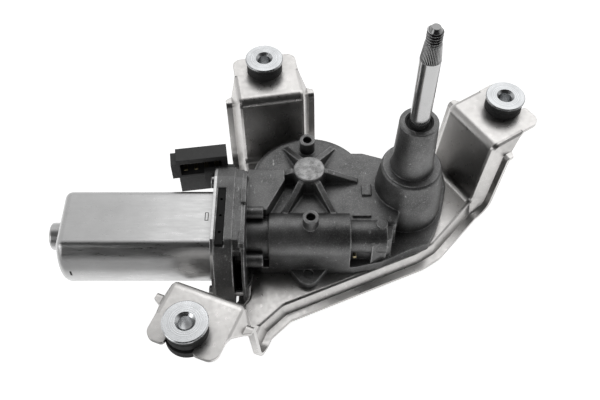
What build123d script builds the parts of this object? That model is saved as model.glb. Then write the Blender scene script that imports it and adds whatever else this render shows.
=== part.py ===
from build123d import *
import math
import os

os.makedirs("parts", exist_ok=True)

# Rear wiper motor. Millimetres. The origin is on the output spindle axis, in the plane of the
# top faces of the three mounting sleeves. +Z runs along the spindle, +X away from the motor.

# Mounting sleeves and rubber grommets
sleeve_flange_radius = 10.5
sleeve_flange_thickness = 1.6
sleeve_tube_radius = 4.8
mounting_hole_radius = 3.3
sleeve_mouth_radius = 4.7
rubber_radius = 9.9
rubber_neck_radius = 6.9
rubber_lower_thickness = 5.6
rubber_slot_clearance = 0.1
rubber_bore_clearance = 0.05
sleeve_overhang = 0.8

# Bracket: heights below the mounting plane, sheet and hat section
pad_top = -8.4
plate_top = -52.0
sheet = 2.0
hat_depth = 7.0
flange_spread = 3.5
lip_width = 3.5
wall_setback = 5.6
fold_radius = 5.0
foot_radius = 3.5
pad_reach = 10.0
pad_corner_radius = 5.0
slot_corner_radius = 2.0
arm_leg = 8.0
flange_bend_radius = 2.5
lobe_start = -3.0
rim_spread = 2.5
rim_lip = 4.0

# Each arm: sleeve position, outward direction, distance from sleeve to fold, web sides
left_sleeve = (-108.4, -96.4)
left_direction = 248.4
left_fold = 22.1
left_web = (-18.5, 17.0)
rear_sleeve = (-78.1, 68.0)
rear_direction = 99.7
rear_fold = 23.9
rear_web = (-17.5, 18.5)
right_sleeve = (52.6, 39.1)
right_direction = 33.0
right_fold = 23.9
right_web = (-16.0, 19.5)

# Worm gear pair: module, one-start worm
module = 1.0
wheel_teeth = 54
worm_pitch_radius = 4.5
gear_face = 8.0
tooth_share = 0.42
wheel_x = -53.2
worm_y = -28.7
worm_z = -34.5
pitch = math.pi * module
wheel_pitch_radius = wheel_teeth * module / 2
wheel_tip_radius = wheel_pitch_radius + module
wheel_root_radius = wheel_pitch_radius - 1.25 * module
worm_tip_radius = worm_pitch_radius + module
worm_root_radius = worm_pitch_radius - 1.25 * module
wheel_y = worm_y + worm_pitch_radius + wheel_pitch_radius
wheel_top = worm_z + gear_face / 2
wheel_bottom = worm_z - gear_face / 2

# Crank linkage under the wheel
crank_radius = 7.5
lever_radius = 10.0
crank_pin_radius = 3.0
crank_shoulder_radius = 4.6
crank_plate_radius = 13.5
crank_plate_thickness = 1.5
lever_pin_radius = 2.5
lever_hub_radius = 8.5
rod_thickness = 3.0
lever_thickness = 3.3
rod_eye_radius = 6.0
rod_far_eye_radius = 4.5
rod_width = 7.0

# Gear housing
roof_thickness = 1.8
dome_radius = 31.6
dome_edge_radius = 3.0
hub_radius = 8.6
hub_height = 10.9
rib_width = 3.0
rib_reach = 25.0
rib_fillet = 0.9
slab_top = -46.0
boss_shoulder = -10.8
boss_top_radius = 15.75
boss_foot_radius = 18.4
collar_top = 22.9
collar_top_radius = 9.8
collar_foot_radius = 11.0
worm_tube_radius = 12.0
worm_tube_left = -74.1
worm_tube_right = -32.1
nose_radius = 8.6
nose_right = -13.0
neck_radius = 10.5
worm_bore_radius = 6.2
plateau_top = -20.0
gusset_top = -30.0
pad_height = 1.2
tube_boss_radius = 4.1
tube_boss_bore = 2.4
lug_height = 4.5
foot_plate_radius = 10.0
foot_plate_thickness = 2.0

# Motor flange of the housing and motor can, radii and heights from the motor axis
can_radius = 23.25
can_flat = 17.2
can_wall = 1.5
can_flange_left = -102.2
can_length = 77.5
can_flange_thickness = 1.5
can_edge_radius = 4.0
pocket_radius = 7.25
pocket_length = 7.7
pocket_edge_radius = 1.5
flange_radius = 28.0
flange_top = 22.5
flange_bottom = 20.0
flange_back = 30.0
flange_lug_y = 26.0
flange_lug_z = 13.0
flange_lug_radius = 8.0
flange_right = -91.3
second_wall_left = -87.1
second_wall_right = -85.6
band_top = 21.5
band_bottom = 13.0
band_front = -20.5
core_radius = 15.0
tab_left = -88.0
tab_right = -85.3
tab_height = 7.0
axial_boss_length = 8.6
brush_pocket_radius = 21.5
brush_pocket_depth = 5.2
brush_pocket_half = 19.5
window_left = -99.8
window_right = -95.6
window_back = 14.9
window_front = -19.5
window_floor = 8.0

# Shafts, bushes and fasteners
shaft_radius = 3.0
shaft_tail_room = 2.4
shaft_right = -23.5
front_bearing_radius = 6.5
end_bearing_radius = 5.5
thrust_ball_radius = 2.4
thrust_screw_radius = 4.0
spindle_radius = 5.0
running_gap = 0.04
seat_gap = 0.02
loose_gap = 0.3
end_play = 0.05
bush_wall = 2.0
lower_bush_top = -22.0
upper_bush_bottom = 2.0
upper_bush_top = 16.0
seal_radius = 7.1
axle_radius = 4.0
gasket_thickness = 0.5
cover_thickness = 1.5
cover_ledge = 1.3
bracket_screw_radius = 2.5
bracket_screw_head = 3.0
can_screw_radius = 2.0
can_screw_head = 2.6
plug_x = -29.6
plug_radius = 1.0

# Motor inside, radii from the motor axis
magnet_inner_radius = 15.5
magnet_half_height = 12.5
magnet_overhang = 4.0
stack_radius = 14.8
stack_rear_room = 15.7
stack_front_room = 10.0
slot_count = 10
slot_width = 3.2
slot_bottom = 6.5
commutator_radius = 8.0
commutator_length = 14.0
commutator_room = 1.8
brush_width = 5.0
brush_height = 6.0

# Connector
connector_turn = 8.0
connector_corner = (-123.0, 2.4)
connector_width = 27.0
connector_depth = 8.5
connector_top = -11.0
connector_bottom = -25.0
socket_width = 22.0
socket_height = 9.0
socket_depth = 7.0
terminal_count = 4
terminal_drop = 2.4
lower_body_height = 14.0

# Output spindle heights
knurl_start = 64.5
knurl_end = 74.0
thread_end = 81.8
spindle_tip = 83.8
thread_radius = 3.9
tip_radius = 2.7

# Worked out from the values above
base_z = plate_top
wheel_roof = wheel_top + 0.5
dome_top = wheel_roof + roof_thickness
hub_top = dome_top + hub_height
lever_top = wheel_bottom - 0.8
lever_bottom = lever_top - lever_thickness
rod_top = lever_bottom - 0.4
crank_plate_bottom = wheel_bottom - crank_plate_thickness
worm_length = 8 * pitch + 4.0
rod_bottom = rod_top - rod_thickness
cover_top = base_z + cover_thickness
gasket_top = cover_top + gasket_thickness
can_flange_right = can_flange_left + can_flange_thickness
can_end = can_flange_left - can_length
pocket_end = can_end - pocket_length
shaft_left = pocket_end + can_wall + shaft_tail_room
commutator_right = can_flange_left - commutator_room
commutator_left = commutator_right - commutator_length
stack_left = can_end + stack_rear_room
stack_right = commutator_left - stack_front_room
magnet_left = stack_left - magnet_overhang
magnet_right = stack_right + magnet_overhang
wheel_centre = (wheel_x, wheel_y)
centre_distance = math.hypot(wheel_x, wheel_y)
rod_length = math.sqrt(centre_distance**2 + crank_radius**2 - lever_radius**2)


def swing_limits():
    """Angles of the lever, measured from the line to the wheel, at the two dead points."""
    near = rod_length - crank_radius
    far = rod_length + crank_radius
    twice = 2 * lever_radius * centre_distance
    squares = lever_radius**2 + centre_distance**2
    return math.acos((squares - near**2) / twice), math.acos((squares - far**2) / twice)


def lever_pin_point():
    """The lever pin at rest, in the middle of its swing."""
    near, far = swing_limits()
    angle = math.atan2(wheel_y, wheel_x) + (near + far) / 2
    return lever_radius * math.cos(angle), lever_radius * math.sin(angle)


def crank_pin_point():
    """The crank pin at rest: one rod length from the lever pin, on the crank circle."""
    px, py = lever_pin_point()
    dx = px - wheel_x
    dy = py - wheel_y
    reach = math.hypot(dx, dy)
    along = (crank_radius**2 - rod_length**2 + reach**2) / (2 * reach)
    across = math.sqrt(crank_radius**2 - along**2)
    x = wheel_x + (along * dx + across * dy) / reach
    y = wheel_y + (along * dy - across * dx) / reach
    return x, y


lever_pin = lever_pin_point()
crank_pin = crank_pin_point()


def upright(x, y):
    """Upright plane through a vertical axis: local x points to +X, local y up."""
    return Plane(origin=(x, y, 0), x_dir=(1, 0, 0), z_dir=(0, -1, 0))


def arm_plane(sleeve, direction):
    """Upright plane along an arm: local x points outward, local y up, normal across the arm."""
    angle = math.radians(direction)
    outward = (math.cos(angle), math.sin(angle), 0)
    across = (math.sin(angle), -math.cos(angle), 0)
    return Plane(origin=(*sleeve, 0), x_dir=outward, z_dir=across)


def arm_point(sleeve, direction, outward, across):
    """A point in plan from its distances along and across an arm."""
    angle = math.radians(direction)
    x = sleeve[0] + outward * math.cos(angle) + across * math.sin(angle)
    y = sleeve[1] + outward * math.sin(angle) - across * math.cos(angle)
    return x, y


def arm_strip(fold, drop, end):
    """Side view of the sheet along an arm, a given drop behind the web, as a closed face."""
    lean = wall_setback / (pad_top - plate_top)
    shift = drop * math.hypot(1, lean)
    top_x = shift - fold - drop * lean
    foot_x = top_x - wall_setback
    top_bend = max(fold_radius - drop, sheet + 0.6)
    foot_bend = foot_radius + drop
    points = [
        (end, pad_top - drop),
        (top_x, pad_top - drop),
        (foot_x, plate_top - drop),
        (-fold - wall_setback - arm_leg, plate_top - drop),
    ]
    with BuildSketch() as strip:
        with BuildLine():
            FilletPolyline(*points, radius=[top_bend, foot_bend])
            offset(amount=sheet, side=Side.LEFT)
        make_face()
    return strip.sketch


def flange_sections(fold):
    """Strips from the web out to the lip: distance outward, drop below the web, outer end."""
    slope = math.atan2(hat_depth, flange_spread)
    inset = flange_bend_radius * math.tan(slope / 2)
    sections = []
    for share, end in ((0, lobe_start + 5.0), (0.5, lobe_start + 2.0), (1, lobe_start - 1.5)):
        outward = flange_bend_radius * math.sin(share * slope) - inset
        drop = flange_bend_radius * (1 - math.cos(share * slope))
        sections.append((outward, drop, end))
    sections.append((flange_spread, hat_depth, 12.0 - fold))
    sections.append((flange_spread + lip_width, hat_depth, 10.0 - fold))
    return sections


def make_arm(sleeve, direction, fold, web):
    """One arm: web from pad to base, rounded over into spread flanges, lips outside them."""
    plane = arm_plane(sleeve, direction)
    pad_plane = Plane(origin=(*sleeve, pad_top), x_dir=plane.x_dir, z_dir=(0, 0, 1))
    sections = flange_sections(fold)
    slot_half = rubber_neck_radius + rubber_slot_clearance
    with BuildPart() as arm:
        # from one lip over the web to the other lip
        for outward, drop, end in reversed(sections):
            with BuildSketch(plane.offset(web[0] - outward)):
                add(arm_strip(fold, drop, end))
        for outward, drop, end in sections:
            with BuildSketch(plane.offset(web[1] + outward)):
                add(arm_strip(fold, drop, end))
        loft(ruled=True)
        # the two lobes of the forked pad, flat over its full width
        with BuildSketch(pad_plane) as pad:
            with Locations((lobe_start, -(web[0] + web[1]) / 2)):
                Rectangle(pad_reach - lobe_start, web[1] - web[0], align=(Align.MIN, Align.CENTER))
            fillet(pad.vertices().group_by(Axis.X)[-1], radius=pad_corner_radius)
            Rectangle(2 * pad_reach, 2 * slot_half, align=(Align.MIN, Align.CENTER), mode=Mode.SUBTRACT)
            fillet(pad.vertices().sort_by_distance((pad_reach, 0, 0))[:2], radius=slot_corner_radius)
        extrude(amount=-sheet)
        # slot for the grommet, open at the outer end
        with BuildSketch(pad_plane):
            Circle(slot_half)
            Rectangle(2 * pad_reach, 2 * slot_half, align=(Align.MIN, Align.CENTER))
        extrude(amount=-sheet, mode=Mode.SUBTRACT)
    return arm.part.fix()


def foot(arm, across, back=0.0):
    """A corner of the base plate, where an arm's wall stands on it, or a little behind it."""
    sleeve, direction, fold, _ = arm
    return arm_point(sleeve, direction, -fold - wall_setback - back, across)


left_arm = (left_sleeve, left_direction, left_fold, left_web)
rear_arm = (rear_sleeve, rear_direction, rear_fold, rear_web)
right_arm = (right_sleeve, right_direction, right_fold, right_web)
arms = (left_arm, rear_arm, right_arm)

# Fold line of the base plate, anticlockwise from the left arm's front corner
plate_outline = [
    foot(left_arm, left_web[0] + 8.0),
    foot(left_arm, left_web[0], 6.0),
    (-66.5, -59.5),
    (6.0, -27.5),
    (14.5, -21.5),
    foot(right_arm, right_web[1]),
    foot(right_arm, right_web[0]),
    (0.0, 32.0),
    (-36.0, 37.0),
    foot(rear_arm, rear_web[1]),
    foot(rear_arm, rear_web[0]),
    (-84.0, 22.0),
    (-84.0, -56.0),
    (-92.0, -64.5),
    foot(left_arm, left_web[1]),
]

plate_corners = [4, 4, 7, 20, 8, 2.2, 2.2, 12, 12, 2.2, 2.2, 7, 8, 7, 2.2]

# Places of the three screws that hold the housing on the bracket
front_lug = (-53.8, -43.4)
right_lug = (19.0, 21.5)
rear_lug = (-76.0, 26.0)
lugs = (front_lug, right_lug, rear_lug)


def plate_face(grow):
    """The base plate's outline, grown or shrunk, with rounded corners."""
    with BuildSketch() as face:
        with BuildLine():
            Polyline(*plate_outline, close=True)
        make_face()
        for corner, radius in zip(plate_outline, plate_corners):
            fillet(face.vertices().sort_by_distance((*corner, 0))[0], radius=radius)
        if grow:
            offset(amount=grow)
    return face.sketch


def rim_loft(grow, top, spread, height):
    """A solid under the plate's outline that widens evenly downward."""
    with BuildPart() as body:
        with BuildSketch(Plane.XY.offset(top)):
            add(plate_face(grow))
        with BuildSketch(Plane.XY.offset(top - height)):
            add(plate_face(grow + spread))
        loft(ruled=True)
    return body.part


arm_solids = [make_arm(*arm) for arm in arms]

# Bracket: base tray with a turned-out rim, and three arms
rim_slope = rim_spread / hat_depth
rim_height = hat_depth + sheet
inner_shrink = sheet * (math.hypot(1, rim_slope) - rim_slope)
tray_outside = rim_loft(0, plate_top, rim_slope * rim_height, rim_height)
tray_inside = rim_loft(-inner_shrink, plate_top - sheet, rim_slope * rim_height, rim_height)
with BuildPart() as bracket:
    add(tray_outside)
    fillet(bracket.edges().group_by(Axis.Z)[-1], radius=1.8)
    with BuildSketch(Plane.XY.offset(plate_top - hat_depth)):
        add(plate_face(rim_spread + rim_lip))
    extrude(amount=-sheet)
    add(tray_inside, mode=Mode.SUBTRACT)
    # the rim stops where an arm's wall stands on the plate
    for sleeve, direction, fold, web in arms:
        foot_x = -fold - wall_setback
        with BuildSketch(arm_plane(sleeve, direction).offset(web[0])):
            with BuildLine():
                Polyline(
                    (foot_x, plate_top + sheet),
                    (foot_x, plate_top - sheet),
                    (foot_x - arm_leg, plate_top - sheet),
                    (foot_x - arm_leg, plate_top - rim_height - sheet),
                    (foot_x + 3 * hat_depth, plate_top - rim_height - sheet),
                    (foot_x + 3 * hat_depth, plate_top + sheet),
                    close=True,
                )
            make_face()
        extrude(amount=web[1] - web[0], mode=Mode.SUBTRACT)
    for arm_solid in arm_solids:
        add(arm_solid)
    with BuildSketch(Plane.XY.offset(plate_top)):
        with Locations(*lugs):
            Circle(bracket_screw_radius + 0.3)
    extrude(amount=-sheet, mode=Mode.SUBTRACT)
bracket.part.label = "bracket"
export_step(bracket.part, "parts/bracket.step")

# Rubber grommets in the forked pads, and the spacer sleeves through them
rubber_bottom = pad_top - sheet - rubber_lower_thickness
for side, (x, y) in (("left", left_sleeve), ("rear", rear_sleeve), ("right", right_sleeve)):
    with BuildPart() as grommet:
        with BuildSketch(upright(x, y)):
            with BuildLine():
                Polyline(
                    (sleeve_tube_radius + rubber_bore_clearance, -sleeve_flange_thickness),
                    (rubber_radius, -sleeve_flange_thickness),
                    (rubber_radius, -sleeve_flange_thickness - 2.2),
                    (rubber_radius - 0.5, -sleeve_flange_thickness - 2.8),
                    (rubber_radius, -sleeve_flange_thickness - 3.4),
                    (rubber_radius, pad_top),
                    (rubber_neck_radius, pad_top),
                    (rubber_neck_radius, pad_top - sheet),
                    (rubber_radius + 0.6, pad_top - sheet),
                    (rubber_radius + 0.6, rubber_bottom + 1.5),
                    (rubber_radius - 0.9, rubber_bottom),
                    (sleeve_tube_radius + rubber_bore_clearance, rubber_bottom),
                    close=True,
                )
            make_face()
        revolve(axis=Axis((x, y, 0), (0, 0, 1)))
    grommet.part.label = f"{side}_grommet"
    export_step(grommet.part, f"parts/{side}_grommet.step")

    with BuildPart() as sleeve:
        with BuildSketch(upright(x, y)):
            with BuildLine():
                Polyline(
                    (mounting_hole_radius, rubber_bottom - sleeve_overhang),
                    (sleeve_tube_radius, rubber_bottom - sleeve_overhang),
                    (sleeve_tube_radius, -sleeve_flange_thickness),
                    (sleeve_flange_radius - 0.3, -sleeve_flange_thickness),
                    (sleeve_flange_radius, -sleeve_flange_thickness + 0.3),
                    (sleeve_flange_radius, -0.4),
                    (sleeve_flange_radius - 0.4, 0),
                    (sleeve_mouth_radius, 0),
                    (mounting_hole_radius, -(sleeve_mouth_radius - mounting_hole_radius)),
                    close=True,
                )
            make_face()
        revolve(axis=Axis((x, y, 0), (0, 0, 1)))
    sleeve.part.label = f"{side}_sleeve"
    export_step(sleeve.part, f"parts/{side}_sleeve.step")


def motor_plane(x):
    """Plane across the motor axis: local x points to +Y, local y up."""
    return Plane(origin=(x, worm_y, worm_z), x_dir=(0, 1, 0), z_dir=(1, 0, 0))


def flange_face(shrink):
    """Outline of the motor flange with its two screw lugs."""
    with BuildSketch() as face:
        Circle(flange_radius - shrink)
        with Locations((flange_lug_y, flange_lug_z), (-flange_lug_y, -flange_lug_z)):
            Circle(flange_lug_radius - shrink)
        make_hull()
        with Locations((0, flange_top - shrink)):
            Rectangle(
                2 * (flange_back - shrink),
                flange_top + flange_bottom - 2 * shrink,
                align=(Align.CENTER, Align.MAX),
                mode=Mode.INTERSECT,
            )
    return face.sketch


def linkage_face(grow):
    """Space of the crank and lever in plan: a hull from wheel to spindle."""
    with BuildSketch() as face:
        with Locations(wheel_centre):
            Circle(crank_radius + 8.0 + grow)
        Circle(lever_radius + lever_pin_radius + 2.7 + grow)
        make_hull()
    return face.sketch


def recess_face(grow):
    """Outline of the opening in the housing's underside."""
    with BuildSketch() as face:
        add(linkage_face(grow))
        with Locations(wheel_centre):
            Circle(wheel_tip_radius + 1.0 + grow)
    return face.sketch


slab_outline = [
    (-78.0, -40.7),
    (-30.0, -40.7),
    (-14.5, -37.0),
    (2.0, -29.0),
    (11.0, -25.4),
    (16.2, -15.5),
    (20.1, -4.3),
    (24.0, 12.5),
    (23.5, 21.5),
    (16.5, 27.5),
    (10.0, 27.0),
    (0.0, 22.0),
    (-24.0, 21.5),
    (-50.0, 30.0),
    (-78.0, 28.0),
    (-85.6, 4.3),
    (-85.6, -36.0),
]
bridge_outline = [
    (-45.0, -25.0),
    (-8.0, -25.0),
    (-2.0, 0.0),
    (-6.0, 17.0),
    (-23.6, 22.9),
    (-45.0, 22.9),
]
plateau_outline = [(-85.6, 4.3), (-66.6, 4.3), (-66.2, -2.6), (-75.3, -22.0), (-85.6, -22.0)]
gusset_outline = [(-21.0, -38.0), (-10.5, -33.0), (-8.0, -18.0), (-21.0, -18.0)]

# Two small open tubes beside the hub, with the heights of their tops
small_tubes = ((-54.1, 25.0, -20.0), (-52.6, -29.0, -16.5))

wide = 3 * flange_radius
window_width = window_right - window_left
window_depth = window_back - window_front
window_middle = worm_y + (window_back + window_front) / 2


def worm_side_block(left, right, radius, front):
    """A round body along the worm axis with a flat front down to the base."""
    with BuildPart() as body:
        with BuildSketch(motor_plane(left)):
            Circle(radius)
            with Locations((-front, 0)):
                Rectangle(2 * front, worm_z - base_z, align=(Align.MIN, Align.MAX))
        extrude(amount=right - left)
    return body.part


worm_block = worm_side_block(worm_tube_left, worm_tube_right, worm_tube_radius, worm_tube_radius)
worm_nose = worm_side_block(worm_tube_right - 1.0, nose_right, nose_radius, 6.5)
worm_neck = worm_side_block(second_wall_right - 1.0, worm_tube_left + 1.0, neck_radius, 7.0)

with BuildPart() as boss_outside:
    with BuildSketch(Plane.XZ):
        with BuildLine():
            Line((0, base_z), (boss_foot_radius, base_z))
            Line((boss_foot_radius, base_z), (boss_foot_radius, -47.0))
            ThreePointArc(
                (boss_foot_radius, -47.0),
                (boss_foot_radius - 0.8, -25.0),
                (boss_top_radius, boss_shoulder),
            )
            Line((boss_top_radius, boss_shoulder), (collar_foot_radius, boss_shoulder))
            Line((collar_foot_radius, boss_shoulder), (collar_top_radius, collar_top))
            Line((collar_top_radius, collar_top), (0, collar_top))
            Line((0, collar_top), (0, base_z))
        make_face()
    revolve(axis=Axis.Z)
    ring_edges = boss_outside.edges().filter_by(GeomType.CIRCLE)
    fillet([e for e in ring_edges if abs(e.radius - boss_top_radius) < 0.01], radius=2.0)
    ring_edges = boss_outside.edges().filter_by(GeomType.CIRCLE)
    fillet([e for e in ring_edges if abs(e.radius - collar_foot_radius) < 0.01], radius=1.2)
    ring_edges = boss_outside.edges().filter_by(GeomType.CIRCLE)
    fillet([e for e in ring_edges if abs(e.radius - collar_top_radius) < 0.01], radius=0.7)

# Dome over the wheel, with its hub and six ribs
with BuildPart() as dome:
    with BuildSketch(Plane.XY.offset(base_z)):
        with Locations(wheel_centre):
            Circle(dome_radius)
    extrude(amount=dome_top - base_z)
    fillet(dome.edges().group_by(Axis.Z)[-1], radius=dome_edge_radius)
    with BuildSketch(Plane.XY.offset(dome_top - 1.0)):
        with Locations(wheel_centre):
            Circle(hub_radius)
    extrude(amount=hub_height + 1.0, taper=2)
    fillet(dome.edges().group_by(Axis.Z)[-1], radius=0.5)
    for turn in range(6):
        angle = math.radians(60 * turn)
        rib_plane = Plane(
            origin=(wheel_x, wheel_y, 0),
            x_dir=(math.cos(angle), math.sin(angle), 0),
            z_dir=(math.sin(angle), -math.cos(angle), 0),
        )
        with BuildSketch(rib_plane):
            with BuildLine():
                Polyline(
                    (2.0, dome_top - 1.0),
                    (rib_reach + 1.5, dome_top - 1.0),
                    (rib_reach + 1.0, dome_top + 1.2),
                    (hub_radius + 1.0, hub_top - 2.0),
                    (2.0, hub_top - 2.0),
                    close=True,
                )
            make_face()
        extrude(amount=rib_width / 2, both=True)
    on_dome = dome.edges().filter_by_position(Axis.Z, dome_top - 0.01, dome_top + 0.01)
    centre = Vector(wheel_x, wheel_y, dome_top)
    fillet([e for e in on_dome if (e.center() - centre).length > 1.0], radius=rib_fillet)

# Plate between the dome and the spindle boss, level with the dome
with BuildPart() as bridge:
    with BuildSketch(Plane.XY.offset(base_z)):
        with BuildLine():
            Polyline(*bridge_outline, close=True)
        make_face()
    extrude(amount=dome_top - base_z)
    fillet(bridge.edges().group_by(Axis.Z)[-1], radius=1.5)

# Gear housing, one aluminium casting
with BuildPart() as gear_housing:
    with BuildSketch(Plane.XY.offset(base_z)):
        with BuildLine():
            Polyline(*slab_outline, close=True)
        make_face()
    extrude(amount=slab_top - base_z)
    fillet(gear_housing.edges().filter_by(Axis.Z), radius=3.0)
    add(bridge.part)
    add(dome.part)
    # two small tubes beside the hub
    for x, y, top in small_tubes:
        with BuildSketch(Plane.XY.offset(dome_top - 2.0)):
            with Locations((x, y)):
                Circle(tube_boss_radius)
        extrude(amount=top - dome_top + 2.0)
    # flat shoulder between dome and motor flange
    with BuildSketch(Plane.XY.offset(slab_top - 1.0)):
        with BuildLine():
            Polyline(*plateau_outline, close=True)
        make_face()
    extrude(amount=plateau_top - slab_top + 1.0)
    add(worm_block)
    add(worm_nose)
    add(worm_neck)
    # gusset between the worm end and the spindle boss
    with BuildSketch(Plane.XY.offset(slab_top - 1.0)):
        with BuildLine():
            Polyline(*gusset_outline, close=True)
        make_face()
    extrude(amount=gusset_top - slab_top + 1.0)
    # low pads on the casting: a square one and a line on the bridge, a round one on the nose
    with BuildSketch(Plane.XY.offset(dome_top)):
        with Locations((-22.7, -3.5)):
            Rectangle(4.9, 7.3)
        with Locations((-25.7, -20.4)):
            Rectangle(9.5, 1.2)
    extrude(amount=pad_height)
    with BuildSketch(Plane.XY.offset(worm_z)):
        with Locations((-15.8, worm_y + 1.4)):
            Circle(3.0)
    extrude(amount=nose_radius + pad_height)
    add(boss_outside.part)
    # motor flange, core and second wall
    with BuildSketch(motor_plane(can_flange_right)):
        add(flange_face(0))
    extrude(amount=flange_right - can_flange_right)
    # band that bridges the two walls at the top, and the round core below it
    with BuildSketch(motor_plane(flange_right)):
        add(flange_face(flange_top - band_top))
        with Locations((band_front, band_bottom)):
            Rectangle(wide, flange_top, align=(Align.MIN, Align.MIN), mode=Mode.INTERSECT)
        Circle(core_radius)
    extrude(amount=second_wall_left - flange_right)
    with BuildSketch(motor_plane(second_wall_left)):
        add(flange_face(1.5))
        with Locations((0, base_z - worm_z)):
            Rectangle(wide, wide, align=(Align.CENTER, Align.MIN), mode=Mode.INTERSECT)
    extrude(amount=second_wall_right - second_wall_left)
    # two tabs that stand a little above the band
    with BuildSketch(motor_plane(tab_left)):
        for front, back in ((5.8, 14.6), (-19.3, -11.5)):
            with Locations((front, flange_top)):
                Rectangle(back - front, tab_height, align=(Align.MIN, Align.MAX))
    extrude(amount=tab_right - tab_left)
    # foot plate under the flange, rounded at its front corner
    with BuildSketch(Plane.XY.offset(base_z)):
        with Locations((-93.0, -43.5)):
            Circle(foot_plate_radius)
            Rectangle(
                foot_plate_radius,
                2 * foot_plate_radius,
                align=(Align.MIN, Align.CENTER),
                mode=Mode.INTERSECT,
            )
            Rectangle(foot_plate_radius, foot_plate_radius, align=(Align.MIN, Align.MIN))
    extrude(amount=foot_plate_thickness)
    # two bosses along the motor axis, right of the second wall
    with BuildSketch(motor_plane(second_wall_right)):
        with Locations((5.8, 13.0)):
            Circle(3.2)
        with Locations((-14.0, -1.2)):
            Circle(3.6)
    extrude(amount=axial_boss_length)
    # feet for the three bracket screws
    with BuildSketch(Plane.XY.offset(base_z)):
        with Locations(front_lug):
            Circle(6.4)
        with Locations((front_lug[0], front_lug[1] + 8.0)):
            Rectangle(21.0, 9.0)
        make_hull()
        with Locations(right_lug):
            Circle(4.8)
        with Locations(rear_lug):
            Circle(7.0)
    extrude(amount=lug_height)

    # space for wheel, crank and lever, open below
    with BuildSketch(Plane.XY.offset(base_z)):
        add(recess_face(cover_ledge))
    extrude(amount=gasket_top - base_z, mode=Mode.SUBTRACT)
    with BuildSketch(Plane.XY.offset(gasket_top)):
        with Locations(wheel_centre):
            Circle(wheel_tip_radius + 1.0)
    extrude(amount=wheel_roof - gasket_top, mode=Mode.SUBTRACT)
    with BuildSketch(Plane.XY.offset(gasket_top)):
        add(linkage_face(0))
    extrude(amount=lever_top + 0.5 - gasket_top, mode=Mode.SUBTRACT)
    # blind bore for the wheel axle
    with BuildSketch(Plane.XY.offset(wheel_roof)):
        with Locations(wheel_centre):
            Circle(axle_radius + seat_gap)
    extrude(amount=hub_height - 1.0, mode=Mode.SUBTRACT)
    # spindle bore with the bushes, and the wider mouth for the seal
    with BuildSketch(Plane.XY.offset(lever_top)):
        Circle(spindle_radius + bush_wall + seat_gap)
    extrude(amount=upper_bush_top - lever_top, mode=Mode.SUBTRACT)
    with BuildSketch(Plane.XY.offset(upper_bush_top)):
        Circle(seal_radius + seat_gap)
    extrude(amount=collar_top - upper_bush_top, mode=Mode.SUBTRACT)
    # worm bore, bearing seats, thrust screw bore
    with BuildSketch(motor_plane(second_wall_left)):
        Circle(worm_bore_radius)
    extrude(amount=worm_tube_right - second_wall_left, mode=Mode.SUBTRACT)
    with BuildSketch(motor_plane(can_flange_right)):
        Circle(front_bearing_radius + seat_gap)
    extrude(amount=second_wall_left + 0.5 - can_flange_right, mode=Mode.SUBTRACT)
    with BuildSketch(motor_plane(worm_tube_right)):
        Circle(end_bearing_radius + seat_gap)
    extrude(amount=7.0, mode=Mode.SUBTRACT)
    with BuildSketch(motor_plane(worm_tube_right)):
        Circle(thrust_screw_radius + seat_gap)
    extrude(amount=nose_right - worm_tube_right + 7.0, mode=Mode.SUBTRACT)
    # pocket for the brush holder and the window above it
    with BuildSketch(motor_plane(can_flange_right)):
        Circle(brush_pocket_radius)
        Rectangle(wide, 2 * brush_pocket_half, mode=Mode.INTERSECT)
    extrude(amount=brush_pocket_depth, mode=Mode.SUBTRACT)
    with Locations((window_left, window_middle, worm_z + window_floor)):
        Box(
            window_width,
            window_depth,
            flange_top,
            align=(Align.MIN, Align.CENTER, Align.MIN),
            mode=Mode.SUBTRACT,
        )
    # holes for can screws, bracket screws, tubes and plug
    with BuildSketch(motor_plane(can_flange_right)):
        with Locations((flange_lug_y, flange_lug_z), (-flange_lug_y, -flange_lug_z)):
            Circle(can_screw_radius + seat_gap)
    extrude(amount=second_wall_right - can_flange_right, mode=Mode.SUBTRACT)
    with BuildSketch(Plane.XY.offset(base_z)):
        with Locations(*lugs):
            Circle(bracket_screw_radius + seat_gap)
    extrude(amount=lug_height, mode=Mode.SUBTRACT)
    for x, y, top in small_tubes:
        with BuildSketch(Plane.XY.offset(top)):
            with Locations((x, y)):
                Circle(tube_boss_bore)
        extrude(amount=-4.0, mode=Mode.SUBTRACT)
    with Locations((plug_x, worm_y - nose_radius, worm_z - 5.5)):
        with Locations(Rotation(90, 0, 0)):
            Cylinder(plug_radius + seat_gap, 2 * nose_radius - 4.0, mode=Mode.SUBTRACT)
gear_housing.part.label = "gear_housing"
export_step(gear_housing.part, "parts/gear_housing.step")

# Cover and gasket under the housing, clamped by the bracket
with BuildPart() as bottom_cover:
    with BuildSketch(Plane.XY.offset(base_z)):
        add(recess_face(cover_ledge - loose_gap))
    extrude(amount=cover_thickness)
bottom_cover.part.label = "bottom_cover"
export_step(bottom_cover.part, "parts/bottom_cover.step")

with BuildPart() as housing_gasket:
    with BuildSketch(Plane.XY.offset(cover_top)):
        add(recess_face(cover_ledge - loose_gap))
        add(recess_face(0), mode=Mode.SUBTRACT)
    extrude(amount=gasket_thickness)
housing_gasket.part.label = "housing_gasket"
export_step(housing_gasket.part, "parts/housing_gasket.step")

# Screws from below through the bracket into the housing's feet
with BuildPart() as bracket_screws:
    with BuildSketch(Plane.XY.offset(base_z - sheet)):
        with Locations(*lugs):
            RegularPolygon(radius=4.6, side_count=6)
    extrude(amount=-bracket_screw_head)
    with BuildSketch(Plane.XY.offset(base_z - sheet)):
        with Locations(*lugs):
            Circle(bracket_screw_radius)
    extrude(amount=sheet + lug_height - 0.8)
bracket_screws.part.label = "bracket_screws"
export_step(bracket_screws.part, "parts/bracket_screws.step")


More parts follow.
